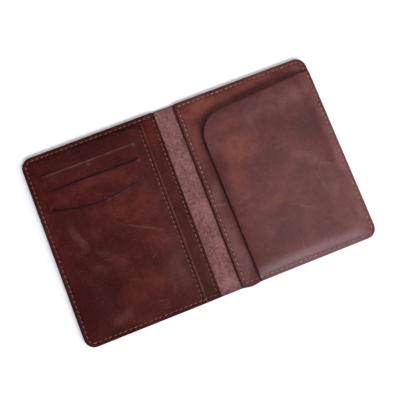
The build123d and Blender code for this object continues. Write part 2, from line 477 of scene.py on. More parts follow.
def plan_mesh(loop, slits=(), seams=(), dense=(), spacing=SPACING, open_x=None):
    """Triangles over an outline with slits cut out, finer at edges and seams.

    open_x is where the sheet is cut from its other half and has no rounded edge.
    """
    holes = [slit_loop(line, width) for line, width, _ in slits]
    rims = [inset(edge, d) for edge in [loop] + holes for d in (0, *RIM_STEPS)]
    points = grid_points(loop, spacing, dense)
    strips = []
    for path in seams:
        points = points[distance_to(points, path) > SEAM_STRIP[-1] + STRIP_CLEAR]
        fine = resample(path, SEAM_POINT, closed=False)
        across = left_of(unit_way(fine))
        strips += [fine + across * off for off in SEAM_STRIP]
    points = np.vstack([points, *strips])
    points = points[inside(points, loop)]
    for hole in holes:
        points = points[~inside(points, hole)]
    for edge in [loop] + holes:
        points = points[distance_to(points, edge, closed=True) > RIM_STEPS[-1] + RIM_CLEAR]
    if open_x is not None:
        rims = [loop]
        off_cut = np.abs(loop[:, 0] - open_x) > 1e-6
        for d in RIM_STEPS:
            ring = inset(loop, d)
            rims.append(ring[off_cut & (np.abs(ring[:, 0] - open_x) > CUT_CLEAR)])
    coords, edges = [], []
    for i, ring in enumerate(rims):
        start = len(coords)
        coords += [Vector(p) for p in ring]
        n = len(ring)
        if open_x is None or i == 0:
            edges += [(start + k, start + (k + 1) % n) for k in range(n)]
    coords += [Vector(p) for p in points]
    made = delaunay_2d_cdt(coords, edges, [], 1, 1e-4, False)
    flat = np.array([tuple(v) for v in made[0]])
    faces = np.array([f for f in made[2] if len(f) == 3])
    middle = flat[faces].mean(1)
    keep = inside(middle, loop)
    for hole in holes:
        keep &= ~inside(middle, hole)
    faces = faces[keep]
    a, b, c = (flat[faces[:, k]] for k in range(3))
    turn = (b[:, 0] - a[:, 0]) * (c[:, 1] - a[:, 1]) - (b[:, 1] - a[:, 1]) * (c[:, 0] - a[:, 0])
    faces[turn < 0] = faces[turn < 0][:, ::-1]
    faces = faces[np.abs(turn) > 1e-7]
    used, faces = np.unique(faces, return_inverse=True)
    return flat[used], faces.reshape(-1, 3), holes


VALLEY = 0.16  # how deep the thread pulls the leather down along a seam
PRICK = 0.3  # how deep the leather dips at a needle hole
GROOVE = 0.42  # how deep the groove outside is, which holds the thread clear of the table
SIDE_SHARE = 0.45  # how much of the thickness stays upright at a cut edge
VALLEY_REACH, PRICK_REACH = 0.8, 0.42  # how far from a seam or a hole they fade
GROOVE_HALF, GROOVE_WALL = 0.95, 0.45  # the groove's half width, and its wall's part of that
RIM_TONE, SEAM_TONE = 1.1, 1.1  # how far from an edge or a seam the leather is darkened


def placed(name, data):
    """A new object in the scene with the data."""
    made = bpy.data.objects.new(name, data)
    bpy.context.scene.collection.objects.link(made)
    return made


def new_piece(name, points, faces):
    """A smooth-shaded object; its points are in metres."""
    mesh = bpy.data.meshes.new(name)
    mesh.from_pydata(points, [], faces)
    mesh.polygons.foreach_set("use_smooth", [True] * len(mesh.polygons))
    return placed(name, mesh)


def edge_distance(flat, loop, holes, open_x):
    """How far each point is from the nearest cut edge; the cut at open_x doesn't count as one."""
    if open_x is None:
        away = distance_to(flat, loop, closed=True)
    else:
        on_cut = np.abs(loop[:, 0] - open_x) < 1e-6
        last_cut = int(np.argmax(on_cut & ~np.roll(on_cut, -1)))
        edge = np.roll(loop, -last_cut, axis=0)[: np.count_nonzero(~on_cut) + 2]
        away = distance_to(flat, edge)
    for hole in holes:
        away = np.minimum(away, distance_to(flat, hole, closed=True))
    return away


def leather_sheet(
    name, loop, base, thick, *, slits=(), seams=(), groove=(), wear=(), wear_reach=0.36, dense=(),
    open_x=None, spacing=SPACING,
):
    """A closed sheet with rounded edges: base is the height of its underside.

    Its faces have material 0 on top, 1 underneath and 2 on the cut edge. Three attributes say how
    near a point is to the cut edge (rim), to a row of stitches (seam) and to a line of painted light
    (wear_and_painted_light): painted highlights on the card panel, a painted shadow on the cover's suede.
    """
    flat, faces, holes = plan_mesh(loop, slits, list(seams) + list(groove), dense, spacing, open_x)
    x, y = flat[:, 0], flat[:, 1]
    away = edge_distance(flat, loop, holes, open_x)
    # Painted light along the given lines: highlights on the card panel, a shadow on the cover's suede
    wear_and_painted_light = np.zeros(len(flat))
    for line, share in wear:
        wear_and_painted_light = np.maximum(wear_and_painted_light, share * np.exp(-((distance_to(flat, line) / wear_reach) ** 2)))
    over = np.clip(away / RIM_R, 0, 1)
    half = thick / 2 * (SIDE_SHARE + (1 - SIDE_SHARE) * np.sqrt(1 - (1 - over) ** 2))
    middle = base(x, y) + thick / 2
    top, under = middle + half, middle - half
    near_seam = np.full(len(flat), 99.0)
    for path in seams:
        off = distance_to(flat, path)
        near_seam = np.minimum(near_seam, off)
        top -= VALLEY * np.exp(-((off / VALLEY_REACH) ** 2))
        off = np.full(len(flat), np.inf)
        for spot in holes_of(path):
            off = np.minimum(off, np.hypot(x - spot[0], y - spot[1]))
        top -= PRICK * np.exp(-((off / PRICK_REACH) ** 2))
    for path in groove:
        off = distance_to(flat, path)
        near_seam = np.minimum(near_seam, off)
        under += GROOVE * smooth((GROOVE_HALF - off) / GROOVE_WALL)
    n = len(flat)
    points = np.vstack([np.column_stack([flat, top]), np.column_stack([flat, under])]) * MM
    directed = np.vstack([faces[:, [0, 1]], faces[:, [1, 2]], faces[:, [2, 0]]]).tolist()
    known = set(map(tuple, directed))
    rim = [(j, i, i + n, j + n) for i, j in directed if (j, i) not in known]
    piece = new_piece(name, points.tolist(), faces.tolist() + (faces[:, ::-1] + n).tolist() + rim)
    mesh = piece.data
    slots = [0] * len(faces) + [1] * len(faces) + [2] * len(rim)
    mesh.polygons.foreach_set("material_index", slots)
    for key, values in (
        ("rim", np.exp(-away / RIM_TONE)),
        ("seam", np.exp(-((near_seam / SEAM_TONE) ** 2))),
        ("wear_and_painted_light", wear_and_painted_light),
    ):
        made = mesh.attributes.new(key, "FLOAT", "POINT")
        made.data.foreach_set("value", np.concatenate([values, values]).astype(np.float32))
    if open_x is not None:
        sharpen_cut(mesh, open_x * MM)
    mesh.validate()
    return piece


def sharpen_cut(mesh, x):
    """Keeps the cut face at the spine's middle out of the smooth shading beside it."""
    on_cut = [abs(v.co.x - x) < 1e-6 for v in mesh.vertices]
    sharp = mesh.attributes.new("sharp_edge", "BOOLEAN", "EDGE")
    for edge in mesh.edges:
        sharp.data[edge.index].value = all(on_cut[end] for end in edge.vertices)


# ---------------- thread
LOBES = 3  # strands twisted into the thread
ROUND = 9  # points in a ring
TWIST_PITCH = 2.2
SLANT = math.radians(7)  # of a stitch to its row
THREAD_TAPER, THREAD_FLAT, LOBE_SHARE = 0.75, 0.85, 0.1  # as shares of its radius
STATIONS = (
    # share of the stitch's length, height over the leather
    (0.0, -0.30), (0.07, -0.02), (0.2, 0.12), (0.5, 0.15), (0.8, 0.12), (0.93, -0.02), (1.0, -0.30),
)


def thread_ring(centre, side, z, up, share, twist):
    """A ring of points round the thread at a share of a stitch's length."""
    thin = THREAD_TAPER if share in (0.0, 1.0) else 1.0
    ring = []
    for m in range(ROUND):
        a = 2 * math.pi * m / ROUND
        r = THREAD_R * thin * (1 - LOBE_SHARE + LOBE_SHARE * math.cos(LOBES * (a - twist)))
        flat = centre + side * r * math.cos(a)
        ring.append((flat[0], flat[1], z + up * r * THREAD_FLAT * math.sin(a)))
    return ring


def stitch_faces(start, up):
    """The faces of one stitch whose first point has the number start."""
    faces = []
    last_ring = start + (len(STATIONS) - 1) * ROUND
    for ring in range(start, last_ring, ROUND):
        for m in range(ROUND):
            a, b = ring + m, ring + (m + 1) % ROUND
            quad = (a, b, b + ROUND, a + ROUND)
            faces.append(quad if up < 0 else quad[::-1])
    first = tuple(range(start, start + ROUND))
    last = tuple(range(last_ring, last_ring + ROUND))
    faces.append(first if up > 0 else first[::-1])
    faces.append(last[::-1] if up > 0 else last)
    return faces


def stitches(name, path, height, outside=None):
    """A row of twisted-thread stitches on the leather, and another outside if it has a height there."""
    place, way, _ = along(path, STITCH_PITCH)
    points, faces = [], []
    sides = [(height, 1.0, SLANT)] + ([(outside, -1.0, -SLANT)] if outside else [])
    for level, up, slant in sides:
        for k, (spot, step) in enumerate(zip(place, way)):
            turn = math.atan2(step[1], step[0]) + slant
            step = np.array([math.cos(turn), math.sin(turn)])
            side = np.array([-step[1], step[0]])
            faces += stitch_faces(len(points), up)
            for share, rise in STATIONS:
                centre = spot + step * (share - 0.5) * STITCH_LENGTH
                z = float(level(centre[0], centre[1])) + up * rise
                twist = 2 * math.pi * share * STITCH_LENGTH / TWIST_PITCH + k
                points += thread_ring(centre, side, z, up, share, twist)
    return new_piece(name, (np.array(points) * MM).tolist(), faces)


# ---------------- materials
def feed(value, target):
    """Links an input to a socket, or sets it to a value; a colour has no alpha of its own."""
    if isinstance(value, bpy.types.NodeSocket):
        target.id_data.links.new(value, target)
    else:
        target.default_value = (*value, 1.0) if target.type == "RGBA" else value


def node(source, kind, inputs=None, **settings):
    """A shader node in a tree, or in a socket's tree, with its settings and its inputs."""
    made = source.id_data.nodes.new("ShaderNode" + kind)
    for key, value in settings.items():
        setattr(made, key, value)
    for key, value in (inputs or {}).items():
        feed(value, made.inputs[key])
    return made


def maths(operation, a, b=0.0, clamp=False):
    return node(a, "Math", {0: a, 1: b}, operation=operation, use_clamp=clamp).outputs[0]


def times(a, b):
    return maths("MULTIPLY", a, b)


def plus(a, b, clamp=False):
    return maths("ADD", a, b, clamp)


def minus(a, b):
    return maths("SUBTRACT", a, b)


def noise(place, scale, detail=3.0, rough=0.5, warp=0.0):
    inputs = {"Vector": place, "Scale": scale, "Detail": detail, "Roughness": rough, "Distortion": warp}
    return node(place, "TexNoise", inputs).outputs["Fac"]


def pebbles(place, scale, **inputs):
    """How far a point is from the middle of its rounded cell."""
    inputs = {"Vector": place, "Scale": scale, **inputs}
    return node(place, "TexVoronoi", inputs, feature="SMOOTH_F1").outputs["Distance"]


def attribute(place, name):
    """One of the attributes that a sheet has at its points."""
    return node(place, "Attribute", attribute_name=name).outputs["Fac"]


def mapped(place, location, turn, scale, kind="POINT"):
    """The place moved, turned in plan by degrees and scaled."""
    inputs = {"Vector": place, "Location": location, "Rotation": (0, 0, math.radians(turn)), "Scale": scale}
    return node(place, "Mapping", inputs, vector_type=kind).outputs["Vector"]


def ranged(value, low, high, to_low=0.0, to_high=1.0):
    """A soft step of the value between two limits."""
    inputs = {"Value": value, "From Min": low, "From Max": high, "To Min": to_low, "To Max": to_high}
    return node(value, "MapRange", inputs, interpolation_type="SMOOTHSTEP").outputs["Result"]


def mixed(share, a, b):
    """Colour a with a share of colour b."""
    inputs = {0: share, 6: a, 7: b}
    return node(share, "Mix", inputs, data_type="RGBA", clamp_factor=True).outputs[2]


def ramp(value, stops):
    made = node(value, "ValToRGB", {"Fac": value})
    elements = made.color_ramp.elements
    while len(elements) < len(stops):
        elements.new(0.5)
    for element, (at, colour) in zip(elements, stops):
        element.position, element.color = at, (*colour, 1.0)
    return made.outputs["Color"]


def start_material(name):
    """A material with no nodes yet but the place on the object, in metres."""
    material = bpy.data.materials.new(name)
    material.use_nodes = True
    material.node_tree.nodes.clear()
    return material, node(material.node_tree, "TexCoord").outputs["Object"]


def finish_material(colour, rough, height, distance, **constants):
    """A principled surface with its bump; constants are values of the shader's own sockets."""
    bump = node(colour, "Bump", {"Height": height, "Distance": distance, "Strength": 1.0})
    inputs = {"Base Color": colour, "Roughness": rough, "Normal": bump.outputs["Normal"]}
    shader = node(colour, "BsdfPrincipled", inputs)
    for key, value in constants.items():
        shader.inputs[key.replace("_", " ")].default_value = value
    node(colour, "OutputMaterial", {"Surface": shader.outputs["BSDF"]})
    return shader


def patch_mask(place, patches):
    """How strongly each point lies in soft patches: X, Y, half width, half height, turn, strength."""
    total = None
    for x, y, wide, high, turn, strength in patches:
        own = mapped(place, (x * MM, y * MM, 0), turn, (wide * MM, high * MM, 1.0), "TEXTURE")
        far = node(own, "VectorMath", {0: own}, operation="LENGTH").outputs["Value"]
        mask = ranged(far, 1.0, 0.15, 0.0, strength)
        total = mask if total is None else plus(total, mask)
    return total


def drifted(place, scale, far):
    """The place shifted about by noise, up to about half of far each way, in metres."""
    inputs = {"Vector": place, "Scale": scale, "Detail": 3.0}
    wander = node(place, "TexNoise", inputs).outputs["Color"]
    inputs = {0: wander, 1: (far,) * 3, 2: (-far / 2,) * 3}
    shift = node(place, "VectorMath", inputs, operation="MULTIPLY_ADD").outputs[0]
    return node(place, "VectorMath", {0: place, 1: shift}, operation="ADD").outputs[0]


def scratches(place):
    """Hairline scratches that come and go, in two directions."""
    found = None
    for turn, long_scale, seed in ((28.0, 9.0, 0.11), (-37.0, 7.0, 0.37)):
        stretched = mapped(place, (seed, seed * 2, 0), turn, (long_scale, 150.0, 1.0))
        lines = noise(stretched, 1.0, 1.5, 0.5, 0.4)
        line = ranged(maths("ABSOLUTE", minus(lines, 0.5)), 0.012, 0.0)
        where = ranged(noise(place, 58.0 + turn / 4, 2.0), 0.56, 0.68)
        line = times(line, where)
        found = line if found is None else maths("MAXIMUM", found, line)
    return found


BURNT_SHARE = 0.42  # of the dark mottling's colour, at a burnished edge
SOIL_AND_SHADE = (0.030, 0.0050, 0.0040)  # of the suede where it is soiled near its cut edges, and of the painted shadow beside the right panel's lifted edge


def leather(name, tones, patches, rough, shine, burnish=0.8):
    """Oiled pull-up leather: mottled tone, paler where it was bent or rubbed and where sheen is painted,
    fine grain, creases.

    tones are colours for dark, middle and light mottling, for deep, pulled and scuff_and_sheen patches
    (scuffs, and on the right half also painted sheen) and for the painted highlight lines
    (wear_and_painted_light). patches gives the places of patches; its marks are small scuffs and, at
    the card panel's slit ends, painted highlights. Scales of patterns are per metre.
    """
    material, place = start_material(name)
    wide = drifted(place, 34.0, 0.018)
    near = drifted(place, 260.0, 0.0022)

    broad = noise(place, 24.0, 4.0, 0.55, 0.6)
    mottle = noise(place, 120.0, 6.0, 0.68, 0.3)
    speck = noise(place, 650.0, 4.0, 0.6)
    tone = plus(times(broad, 0.42), times(mottle, 0.33))
    tone = plus(tone, times(speck, 0.25))
    fleck = ranged(noise(place, 1050.0, 3.0, 0.7), 0.54, 0.68, 0.0, 0.42)
    colour = ramp(tone, ((0.38, tones["dark"]), (0.5, tones["middle"]), (0.62, tones["light"])))

    grainy = ranged(mottle, 0.36, 0.62, 0.45, 1.0)
    for kind, spot in (("deep", wide), ("pulled", wide), ("scuff_and_sheen", wide), ("marks", near)):
        if patches.get(kind):
            mask = times(patch_mask(spot, patches[kind]), grainy)
            colour = mixed(mask, colour, tones["scuff_and_sheen" if kind == "marks" else kind])

    colour = mixed(times(fleck, grainy), colour, tones["scuff_and_sheen"])

    inputs = {"Vector": wide, "Scale": 19.0}
    cells = node(place, "TexVoronoi", inputs, feature="DISTANCE_TO_EDGE").outputs["Distance"]
    creased = ranged(noise(place, 31.0, 2.0), 0.52, 0.66)
    crease = times(ranged(cells, 0.03, 0.0), creased)
    marks = plus(times(crease, 0.22), times(scratches(place), 0.5))
    colour = mixed(times(marks, 0.5), colour, tones["scuff_and_sheen"])

    # Darker where the edge is burnished and where the thread pulls the leather down, pale along painted
    # highlight lines.
    rim, seam, wear_and_painted_light = (attribute(place, key) for key in ("rim", "seam", "wear_and_painted_light"))
    burnt = maths("MAXIMUM", times(rim, burnish), times(seam, burnish / 2))
    colour = mixed(burnt, colour, tuple(BURNT_SHARE * c for c in tones["dark"]))
    colour = mixed(times(wear_and_painted_light, grainy), colour, tones["wear_and_painted_light"])

    # Grain: pebbles about a millimetre across with pores between them, and finer creasing.
    pebble = pebbles(near, 880.0, Smoothness=0.4)
    pores = noise(place, 1900.0, 2.0, 0.5)
    wrinkle = noise(place, 170.0, 5.0, 0.62, 0.8)
    height = plus(times(pebble, -0.35), times(pores, 0.25))
    height = plus(height, times(wrinkle, 1.1))
    height = minus(height, times(marks, 0.5))
    uneven = plus(times(mottle, 0.24), rough - 0.12)
    uneven = plus(uneven, times(marks, 0.15), clamp=True)
    finish_material(colour, uneven, height, 0.00016, Specular_IOR_Level=shine)
    return material


def flesh(name, tones, rough=0.92):
    """The cover's inside: napped flesh side with a pebbled surface, dark where it is soiled near its cut
    edges and where a shadow is painted beside the right panel's lifted edge.
    """
    dark, light = tones
    material, place = start_material(name)
    nap = noise(place, 800.0, 5.0, 0.7, 0.5)
    cloud = noise(place, 55.0, 4.0, 0.6)
    pebble = pebbles(place, 640.0)
    tone = plus(times(nap, 0.5), times(cloud, 0.35))
    tone = minus(tone, times(pebble, 0.18))
    colour = ramp(tone, ((0.26, dark), (0.46, light)))
    # Soil near the cut edges, and the painted shadow carried by the wear_and_painted_light attribute
    soil_and_shade = maths("MAXIMUM", times(attribute(place, "rim"), 0.75), attribute(place, "wear_and_painted_light"))
    colour = mixed(soil_and_shade, colour, SOIL_AND_SHADE)
    height = minus(nap, times(pebble, 0.9))
    uneven = plus(times(nap, 0.1), rough - 0.05, clamp=True)
    sheen = {"Sheen_Weight": 0.25, "Sheen_Roughness": 0.4}
    finish_material(colour, uneven, height, 0.00022, Specular_IOR_Level=0.25, **sheen)
    return material


def cut_edge(name, paint, bare):
    """A burnished cut edge: dark paint with fine streaks, worn paler in places."""
    material, place = start_material(name)
    streaks = mapped(place, (0, 0, 0), 0, (1.0, 1.0, 9.0))
    fibre = noise(streaks, 420.0, 4.0, 0.6)
    wear_and_painted_light = ranged(noise(place, 85.0, 3.0), 0.5, 0.75, 0.0, 0.5)
    colour = mixed(times(wear_and_painted_light, fibre), paint, bare)
    rough = plus(times(fibre, 0.3), 0.25)
    finish_material(colour, rough, fibre, 0.00008, Specular_IOR_Level=0.12)
    return material


def thread_material(name, dark, light):
    """Waxed thread: fine fibres and a little dirt."""
    material, place = start_material(name)
    fibre = noise(place, 3200.0, 3.0, 0.6)
    dirt = noise(place, 190.0, 3.0, 0.6)
    tone = plus(times(fibre, 0.3), times(dirt, 0.7))
    colour = ramp(tone, ((0.36, dark), (0.62, light)))
    rough = plus(times(fibre, 0.25), 0.45)
    finish_material(colour, rough, fibre, 0.00005, Specular_IOR_Level=0.2)
    return material


WEAVE_PITCH = 0.9  # over two threads


def cloth_material(name, warp_colour, weft_colour):
    """Plain-woven lining cloth."""
    material, place = start_material(name)
    parts = node(place, "SeparateXYZ", {"Vector": place}).outputs
    count = 2 * math.pi / (WEAVE_PITCH * MM)
    warp = maths("SINE", times(parts["X"], count))
    weft = maths("SINE", times(parts["Y"], count))
    weave = ranged(times(warp, weft), -0.4, 0.4)
    slub = noise(place, 260.0, 4.0, 0.65)
    colour = mixed(weave, warp_colour, weft_colour)
    colour = mixed(times(slub, 0.5), colour, tuple(0.4 * c for c in warp_colour))
    height = plus(weave, slub)
    rough = plus(times(slub, 0.15), 0.78)
    finish_material(colour, rough, height, 0.00008, Specular_IOR_Level=0.1, Sheen_Weight=0.05)
    return material


OXBLOOD = {
    "dark": (0.031, 0.0042, 0.0036),
    "middle": (0.050, 0.0064, 0.0052),
    "light": (0.079, 0.0128, 0.0098),
    "deep": (0.020, 0.0034, 0.0040),
    "pulled": (0.112, 0.0210, 0.0118),
    "scuff_and_sheen": (0.117, 0.0430, 0.0380),
    "wear_and_painted_light": (0.260, 0.1200, 0.1000),
}
# The same leather as OXBLOOD with its tones painted lighter and pinker, standing in for the sheen that the
# right half catches; the cover's outside uses them too
OXBLOOD_PAINTED_SHEEN = {
    "dark": (0.061, 0.0132, 0.0112),
    "middle": (0.087, 0.0195, 0.0162),
    "light": (0.118, 0.0310, 0.0256),
    "deep": (0.050, 0.0138, 0.0136),
    "pulled": (0.196, 0.0520, 0.0310),
    "scuff_and_sheen": (0.160, 0.0650, 0.0625),
    "wear_and_painted_light": (0.250, 0.1150, 0.0950),
}

# Patches: X, Y, half width, half height, turn in degrees, strength
CARD_PATCHES = {
    "deep": (
        (-60, 60, 44, 8, 0, 0.65), (-62, 47, 40, 5, 0, 0.35),
        (-86, 14, 20, 20, 0, 0.60), (-95, -36, 18, 36, 0, 0.78),
        (-78, -8, 14, 12, 0, 0.35),
    ),
    "pulled": (
        (-44, 10, 25, 18, -20, 0.62), (-54, -44, 26, 18, -8, 0.62),
        (-60, 36, 36, 5, 0, 0.28), (-64, -22, 18, 14, 0, 0.42),
        (-36, -18, 20, 17, 0, 0.55),
    ),
    "scuff_and_sheen": (
        (-33, -38, 13, 28, 0, 0.30), (-77, -56, 12, 6, 8, 0.50),
        (-87, 8, 4.5, 16, 20, 0.42), (-80, -18, 9, 5, 0, 0.25),
        (-62, 36, 12, 5, 0, 0.20),
    ),
    "marks": (
        (-43, -5, 22, 1.5, -28, 0.55), (-42.5, -26, 2.6, 1.1, 25, 0.8),
        # The pale marks at the slits' ends are painted highlights where the cut ends of the slits catch the
        # light
        (-63, 50, 2.8, 2.4, 0, 0.7), (-29.5, 39.8, 2.8, 1.6, 0, 0.8),
        (-29, 51.6, 1.6, 2.4, 0, 0.7), (-97.2, 29.6, 1.2, 2.6, -30, 0.8),
        (-59, 22, 3.0, 2.4, 0, 0.5), (-85, 3, 1.2, 9, 24, 0.5),
    ),
}
POCKET_PATCHES = {
    "deep": (
        (90, 20, 15, 14, 0, 0.70), (61, 8, 15, 12, 0, 0.45),
        (69, -12, 10, 9, 0, 0.30), (50, -48, 22, 9, 0, 0.40),
    ),
    "pulled": (
        (40, 21, 17, 15, 0, 0.78), (30, 0, 13, 24, 0, 0.42),
        (35, 40, 15, 9, 0, 0.36), (48, -22, 13, 8, 0, 0.36),
    ),
    # The scuff_and_sheen patches down the right side and at the lower right are painted sheen: mauve where
    # the pocket's slopes would catch the window's light
    "scuff_and_sheen": (
        (105, -8, 7, 64, 0, 0.55), (70, 42, 40, 12, 0, 0.42),
        (91, 43, 14, 9, 0, 0.40), (100, -46, 14, 26, 0, 0.45),
        (83, -2, 22, 6, -38, 0.55), (93, -24, 9, 17, -15, 0.45),
        (54, 38, 5, 14, -10, 0.28),
    ),
    "marks": (
        (64, -31, 13, 1.0, -33, 0.50), (83, -20, 1.1, 12, 12, 0.45),
        (92, -10, 14, 1.0, -30, 0.40), (27, 29, 8, 0.8, -6, 0.40),
    ),
}
RIGHT_PANEL_PATCHES = {
    "pulled": ((28, 61, 30, 10, 0, 0.75), (12, 42, 8, 26, 0, 0.60), (74, 66, 44, 6, 0, 0.60)),
    # Its lower scuff_and_sheen patches beside the spine are painted sheen, a mauve haze of reflected light
    "scuff_and_sheen": ((12, -2, 6, 16, 0, 0.50), (12, -44, 8, 30, 0, 0.75), (100, 62, 8, 5, 0, 0.40)),
    "marks": ((12.5, -10, 5.5, 0.9, -12, 0.80),),
}
LEFT_PANEL_PATCHES = {
    "deep": ((-14.5, -8, 6, 11, 0, 0.30),),
    "pulled": ((-15, 52, 6, 18, 0, 0.40), (-15, 20, 5, 12, 0, 0.25), (-14, -38, 6, 20, 0, 0.30)),
    "scuff_and_sheen": ((-14, -56, 6, 12, 0, 0.25),),
}
OUTSIDE_PATCHES = {
    "deep": ((-30, 10, 26, 40, 10, 0.50), (96, 44, 16, 20, 0, 0.50)),
    "pulled": ((60, 20, 30, 34, 15, 0.45), (-70, -22, 26, 30, -20, 0.42), (-40, 40, 22, 16, 0, 0.30)),
    "scuff_and_sheen": ((88, -40, 14, 8, 30, 0.40), (-90, 36, 10, 14, 0, 0.35), (20, -46, 22, 4, -25, 0.30)),
    "marks": ((30, 30, 16, 0.9, 38, 0.5), (-60, 6, 12, 0.8, -22, 0.5)),
}

cover_grain = leather("cover_leather", OXBLOOD_PAINTED_SHEEN, OUTSIDE_PATCHES, 0.46, 0.3)
left_grain = leather("left_panel_leather", OXBLOOD, LEFT_PANEL_PATCHES, 0.37, 0.12)
right_grain = leather("right_panel_leather", OXBLOOD_PAINTED_SHEEN, RIGHT_PANEL_PATCHES, 0.42, 0.16)
card_grain = leather("card_panel_leather", OXBLOOD, CARD_PATCHES, 0.37, 0.11)
pocket_grain = leather("pocket_leather", OXBLOOD_PAINTED_SHEEN, POCKET_PATCHES, 0.42, 0.24, burnish=0.35)
suede = flesh("flesh_side", ((0.110, 0.040, 0.036), (0.272, 0.116, 0.106)))
edge_paint = cut_edge("burnished_edge", (0.040, 0.0085, 0.0068), (0.15, 0.050, 0.036))
# One thread in two painted copies: darker, as if shaded, for the left half's rows, paler, as if lit, for
# the right half's
thread_painted_shaded = thread_material("seam_thread_left", (0.072, 0.018, 0.012), (0.285, 0.096, 0.064))
thread_painted_lit = thread_material("seam_thread_right", (0.105, 0.034, 0.024), (0.385, 0.180, 0.128))
cloth_look = cloth_material("lining_cloth", (0.036, 0.011, 0.010), (0.058, 0.019, 0.016))


# ---------------- pieces
def dress(piece, materials, body, nodes, blend=None):
    """Gives a piece its materials, hangs it on its body or, when it has a blend, bakes its transform, and
    hides the CAD nodes it stands for.
    """
    for material in materials:
        piece.data.materials.append(material)
    if blend:
        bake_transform(piece)
    else:
        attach(piece, body)
    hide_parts(*nodes)


def add_sheet(name, loop, base, thick, look, body, nodes, rests_on=(), held="laid", blend=None, **details):
    """Makes a sheet and gives it the three materials of its look and its body; the look's first entry, a
    slot name, is not used.
    """
    slot, *materials = look
    piece = leather_sheet(name, loop, base, thick, **details)
    dress(piece, materials, body, nodes, blend)


# The cover is one leather: its two meshes meet in the middle of the spine.
FOLD_REACH = 0.35  # how far past the fold line the blend given for the cover starts, on the stiff side
FOLD_END_X = 2.7
BEND_STRIP, BEND_SPACING = 7.0, 0.5  # the part of the cover with closer points, and how close
PANEL_SHADOW_IN, PANEL_SHADOW_REACH, PANEL_SHADOW = 0.15, 0.85, 0.95  # the painted shadow line on the suede beside the right panel's lifted edge
bend_start, bend_end, axis_z = (FOLD_X + FOLD_REACH) * MM, FOLD_END_X * MM, COVER_TOP * MM
cover_look = ("cover_leather", suede, cover_grain, edge_paint)
panel_shadow_line = np.array([(RIGHT_EDGE[0] - PANEL_SHADOW_IN, HALF_HEIGHT), (RIGHT_EDGE[1] - PANEL_SHADOW_IN, -HALF_HEIGHT)])

add_sheet(
    "outer_cover_right_skin",
    right_cover_line, sway, COVER_TOP, cover_look, None,
    ("outer_cover_right", "outer_cover_spine"),
    blend=("passport_half", "spine", (bend_start, 0, axis_z), (bend_end, 0, axis_z)),
    groove=(right_seam,),
    wear=((panel_shadow_line, PANEL_SHADOW),),
    wear_reach=PANEL_SHADOW_REACH,
    dense=((0.0, BEND_STRIP, BEND_SPACING),),
    open_x=0.0,
)
add_sheet(
    "outer_cover_left_skin",
    left_cover_line, sway, COVER_TOP, cover_look, None,
    ("outer_cover_left",),
    blend=("spine", "card_half", (-bend_end, 0, axis_z), (-bend_start, 0, axis_z)),
    groove=(left_seam,),
    dense=((-BEND_STRIP, 0.0, BEND_SPACING),),
    open_x=0.0,
)
add_sheet(
    "right_inner_panel_skin",
    right_panel_line, right_panel_base, PANEL_THICK,
    ("panel_leather", right_grain, suede, edge_paint),
    "passport_half", ("right_inner_panel",), ("outer_cover_right_skin",),
    seams=(right_seam, right_row),
)
add_sheet(
    "left_inner_panel_skin",
    left_panel_line, left_panel_base, PANEL_THICK,
    ("panel_leather", left_grain, suede, edge_paint),
    "card_half", ("left_inner_panel",), ("outer_cover_left_skin",),
    seams=(left_seam, left_row),
)

# Painted highlights: pale lines along the slits' lower lips and the card panel's free side, where those
# edges catch the light
lip_drop = np.array([0, 0.3])
EDGE_IN = 0.4  # of the painted highlight line along the card panel's free side
HIGHLIGHT_FROM = 34  # the point of the curved slit from which its lip's painted highlight is stronger
SIDE_TOP, SIDE_FOOT = CARD_TOP_Y - 2, 1 - HALF_HEIGHT  # the painted highlight line stops short of the corners
upper_slit, middle_slit, curved_slit = (line for line, _, _ in SLIT_LINES)
card_side = np.array([(CARD_EDGE[0] - EDGE_IN, SIDE_TOP), (CARD_EDGE[1] - EDGE_IN, SIDE_FOOT)])
card_wear = (
    # line, how strong its painted highlight is
    (upper_slit - lip_drop, 0.8),
    (middle_slit - 2 * lip_drop, 0.12),
    (curved_slit[HIGHLIGHT_FROM:] - lip_drop, 0.6),
    (curved_slit[:HIGHLIGHT_FROM] - lip_drop, 0.12),
    (card_side, 0.34),
)
add_sheet(
    "card_panel_skin",
    card_line, card_base, CARD_THICK,
    ("card_leather", card_grain, suede, edge_paint),
    "card_half", ("card_panel",), ("left_inner_panel_skin",),
    slits=SLIT_LINES,
    seams=(left_seam, card_row),
    wear=card_wear,
    spacing=FINE_SPACING,
)
add_sheet(
    "passport_pocket_skin",
    pocket_line, pocket_base, POCKET_THICK,
    ("pocket_leather", pocket_grain, suede, edge_paint),
    "passport_half", ("passport_pocket",), ("right_inner_panel_skin",),
    held="stretched",
    seams=(right_seam,),
    spacing=FINE_SPACING,
)

CLOTH_SHARE = 0.9  # of a leaf's room that its cloth fills, so that the leaves don't touch


def lining_sheet(node_name, level):
    """A cloth leaf between the left inner panel and the card panel; level counts from below."""
    low, high = node_box(node_name)
    corners = [(low[0], low[1]), (high[0], low[1]), (high[0], high[1]), (low[0], high[1])]
    loop = sheet_outline(corners, [1.0] * 4)

    def base(x, y):
        return PANEL_TOP + sway(x, y) + level * CLOTH_THICK * card_swell(x, y)

    add_sheet(
        node_name + "_cloth",
        loop, base, CLOTH_SHARE * CLOTH_THICK,
        ("lining_cloth", cloth_look, cloth_look, cloth_look),
        "card_half", (node_name,), ("left_inner_panel_skin",),
        spacing=CLOTH_SPACING,
    )


for level, lining in enumerate(LININGS):
    lining_sheet(lining, level)


THREAD_IN = 0.06  # how far the outside thread's middle lies in from its groove


